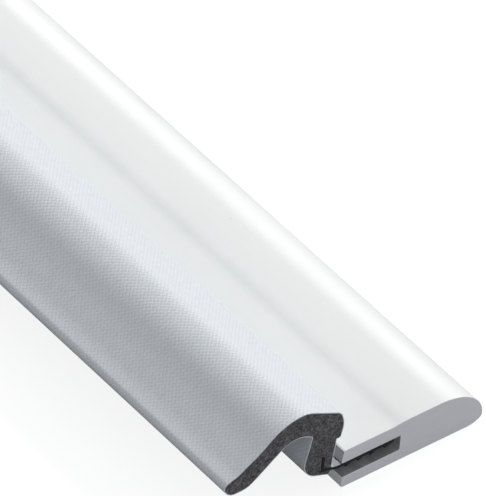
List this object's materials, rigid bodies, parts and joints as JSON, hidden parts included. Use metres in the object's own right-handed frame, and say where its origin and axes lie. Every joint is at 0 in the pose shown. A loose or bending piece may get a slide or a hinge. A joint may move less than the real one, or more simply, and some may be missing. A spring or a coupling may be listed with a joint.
{
  "type": "door seal strip",
  "caption": "Rigid door seal strip with a rounded nose and a kerf that holds a film-wrapped foam seal whose leaf folds against the door.",
  "frame": {"origin": "centre of the carrier's flat back face, at mid-length", "axes": "+Y along the strip, +Z out of the flat back towards the seal's crown, +X across from the seal towards the rounded nose"},
  "size_m": [0.0529, 0.9144, 0.0201],
  "materials": {
    "carrier_plastic": "white rigid vinyl, satin gloss, with fine lines along the length",
    "spine_plastic": "black polypropylene, matt",
    "fin_rubber": "black soft elastomer, matt",
    "seal_foam": "charcoal open-cell foam with small cells",
    "cover_film": "thin white film with a fine woven emboss at 45 degrees",
    "glass_thread": "twisted glass thread"
  },
  "bodies": {
    "carrier": {"carrier_strip": "carrier_plastic", "kerf_upper_lip": "carrier_plastic", "kerf_lower_lip": "carrier_plastic"},
    "seal": {"insert_spine": "spine_plastic", "grip_fins": "fin_rubber", "stretch_cord": "glass_thread", "foam_leg": "seal_foam", "film_leg": "cover_film"},
    "leaf": {"foam_leaf": "seal_foam", "film_leaf": "cover_film"}
  },
  "joints": [
    {"name": "seal_pull", "type": "slide", "parent": "carrier", "child": "seal", "axis": [-1, 0, 0], "range_m": [0, 0.014]},
    {"name": "leaf_fold", "type": "hinge", "parent": "seal", "child": "leaf", "pos_m": [-0.0234, 0, 0.01773], "axis": [0, -1, 0], "range_deg": [-12, 56], "stiffness_Nm_per_rad": 0.8}
  ]
}
